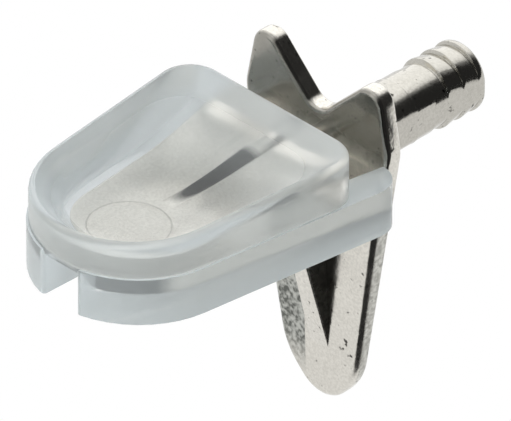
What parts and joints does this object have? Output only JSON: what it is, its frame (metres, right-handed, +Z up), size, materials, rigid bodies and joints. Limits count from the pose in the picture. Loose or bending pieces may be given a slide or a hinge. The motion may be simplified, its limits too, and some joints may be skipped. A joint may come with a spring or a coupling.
{
  "type": "shelf support pin",
  "caption": "Plug-in shelf support: a cast metal shield plate with a barbed wall pin behind and a ribbed tongue in front that carries a clear soft sleeve with a dished top.",
  "frame": {"origin": "on the wall pin's axis, in the plane of the plate's back face", "axes": "+Y along the pin into the cabinet side, +Z up, X across the width"},
  "size_m": [0.0108, 0.0238, 0.0172],
  "materials": {
    "nickel_plate": "satin nickel plate over a zinc die casting, with fine casting pits",
    "clear_plastic": "clear soft moulded plastic, slightly bluish and smooth"
  },
  "bodies": {
    "root": {"metal_support": "nickel_plate", "clear_sleeve": "clear_plastic"}
  },
  "joints": []
}
